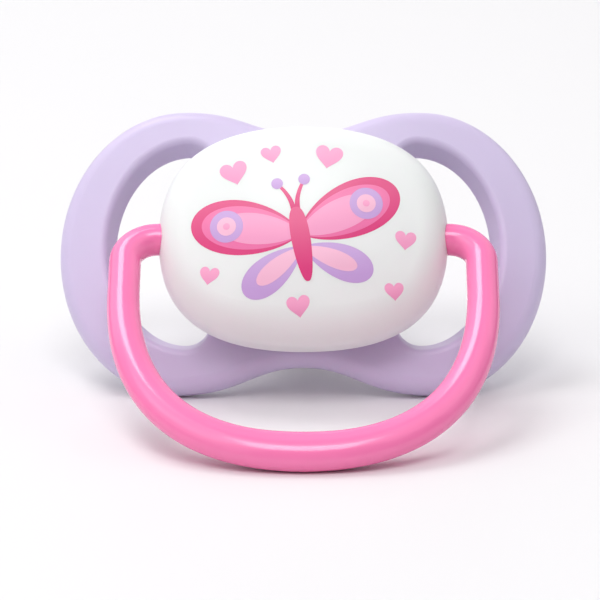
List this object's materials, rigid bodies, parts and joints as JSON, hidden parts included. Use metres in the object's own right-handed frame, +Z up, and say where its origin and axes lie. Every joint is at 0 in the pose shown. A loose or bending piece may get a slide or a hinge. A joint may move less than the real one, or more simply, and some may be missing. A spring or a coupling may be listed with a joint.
{
  "type": "baby pacifier",
  "caption": "Pacifier with a vented butterfly-shaped shield, a domed printed button, a soft hollow teat and a swinging ring handle, lying on a table.",
  "frame": {"origin": "on the table under the middle of the whole pacifier as it rests", "axes": "+X across the shield, +Y from the ring towards the teat, +Z up from the table"},
  "size_m": [0.06, 0.0578, 0.0317],
  "materials": {
    "shield_plastic": "satin lilac polypropylene",
    "teat_silicone": "clear soft silicone",
    "plug_plastic": "plain moulded white",
    "button_plastic": "smooth white, printed in front",
    "ring_plastic": "smooth pink polypropylene"
  },
  "bodies": {
    "soother": {"shield": "shield_plastic", "teat": "teat_silicone", "plug": "plug_plastic", "button_base": "button_plastic", "button_cover": "button_plastic"},
    "ring": {"ring_handle": "ring_plastic"}
  },
  "joints": [
    {"name": "ring_swing", "type": "hinge", "parent": "soother", "child": "ring", "pos_m": [0, 0.00306, 0.01885], "axis": [1, 0, 0], "range_deg": [-164, 37]}
  ]
}
